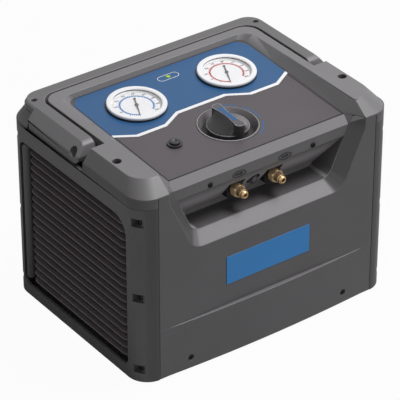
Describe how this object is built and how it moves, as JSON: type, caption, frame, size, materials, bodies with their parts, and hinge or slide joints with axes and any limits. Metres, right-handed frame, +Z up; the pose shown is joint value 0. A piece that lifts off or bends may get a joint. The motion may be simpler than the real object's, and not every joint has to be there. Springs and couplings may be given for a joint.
{
  "type": "refrigerant recovery machine",
  "caption": "Portable refrigerant recovery machine: a grey moulded box with a folding carry handle, two pressure gauges, a selector knob and brass flare ports.",
  "frame": {"origin": "centre of the footprint on the floor, under the rubber feet", "axes": "+X along the width towards the high-pressure gauge, the front with the ports faces -Y, +Z is up"},
  "size_m": [0.345, 0.264, 0.2578],
  "materials": {
    "housing_grey": "fine moulded grain",
    "grille_grey": "fine moulded grain",
    "label_blue": "printed film",
    "trim_white": "smooth",
    "black_plastic": "smooth",
    "black_steel": "black oxide",
    "pin_steel": "turned",
    "pointer_grey": "satin",
    "lens_clear": "clear",
    "lamp_green": "translucent",
    "port_brass": "turned and milled",
    "cast_alloy": "as cast",
    "core_alloy": "black coated",
    "copper": "drawn copper tube",
    "fan_plastic": "moulded",
    "motor_black": "satin",
    "foot_rubber": "moulded",
    "board_green": "solder mask"
  },
  "bodies": {
    "housing": {"front_panel": "housing_grey", "rear_panel": "housing_grey", "left_end_cap": "housing_grey", "right_end_cap": "housing_grey", "left_rail": "housing_grey", "right_rail": "housing_grey", "top_cover": "housing_grey", "console": "housing_grey", "control_panel": "housing_grey", "knob_well": "housing_grey", "base_tray": "housing_grey", "left_grille": "grille_grey", "right_grille": "grille_grey", "fan_shroud": "grille_grey", "badge_plate": "label_blue", "panel_label": "label_blue", "label_stripe": "trim_white", "low_dial": "trim_white", "high_dial": "trim_white", "low_bezel": "trim_white", "high_bezel": "trim_white", "button_collar": "black_plastic", "low_case": "black_plastic", "high_case": "black_plastic", "breaker_body": "black_plastic", "power_inlet": "black_plastic", "cap_screws": "black_steel", "top_screws": "black_steel", "front_screws": "black_steel", "port_screws": "black_steel", "handle_pins": "pin_steel", "low_lens": "lens_clear", "high_lens": "lens_clear", "status_lamp": "lamp_green", "inlet_fitting": "port_brass", "outlet_fitting": "port_brass", "valve_body": "port_brass", "port_block": "cast_alloy", "crankcase": "cast_alloy", "cylinder_barrel": "cast_alloy", "cylinder_head": "cast_alloy", "condenser_core": "core_alloy", "condenser_bends": "copper", "refrigerant_tubes": "copper", "fan_motor": "motor_black", "compressor_motor": "motor_black", "feet": "foot_rubber", "compressor_mounts": "foot_rubber", "control_board": "board_green"},
    "handle": {"carry_handle": "housing_grey", "handle_screws": "black_steel"},
    "selector": {"selector_knob": "black_plastic", "knob_inlay": "label_blue", "valve_stem": "pin_steel"},
    "low_needle": {"low_pointer": "pointer_grey"},
    "high_needle": {"high_pointer": "pointer_grey"},
    "power_key": {"power_button": "black_plastic"},
    "reset_key": {"reset_button": "black_plastic"},
    "fan": {"fan_rotor": "fan_plastic"}
  },
  "joints": [
    {"name": "handle_swing", "type": "hinge", "parent": "housing", "child": "handle", "pos_m": [0, 0.001, 0.2402], "axis": [1, 0, 0], "range_deg": [0, 95]},
    {"name": "selector_turn", "type": "hinge", "parent": "housing", "child": "selector", "pos_m": [0, -0.0514, 0.24058], "axis": [0, -0.0471, 0.9989], "range_deg": [-180, 0]},
    {"name": "low_sweep", "type": "hinge", "parent": "housing", "child": "low_needle", "pos_m": [-0.062, 0.0344, 0.24462], "axis": [0, -0.0471, 0.9989], "range_deg": [-300, 0], "stiffness_Nm_per_rad": 0.00002},
    {"name": "high_sweep", "type": "hinge", "parent": "housing", "child": "high_needle", "pos_m": [0.062, 0.0344, 0.24462], "axis": [0, -0.0471, 0.9989], "range_deg": [-300, 0], "stiffness_Nm_per_rad": 0.00002},
    {"name": "power_press", "type": "slide", "parent": "housing", "child": "power_key", "axis": [0, 0.0471, -0.9989], "range_m": [0, 0.003], "stiffness_N_per_m": 400},
    {"name": "reset_press", "type": "slide", "parent": "housing", "child": "reset_key", "axis": [0, 1, 0], "range_m": [0, 0.002], "stiffness_N_per_m": 800},
    {"name": "fan_spin", "type": "hinge", "parent": "housing", "child": "fan", "pos_m": [0, 0, 0.108], "axis": [1, 0, 0], "continuous": true}
  ]
}
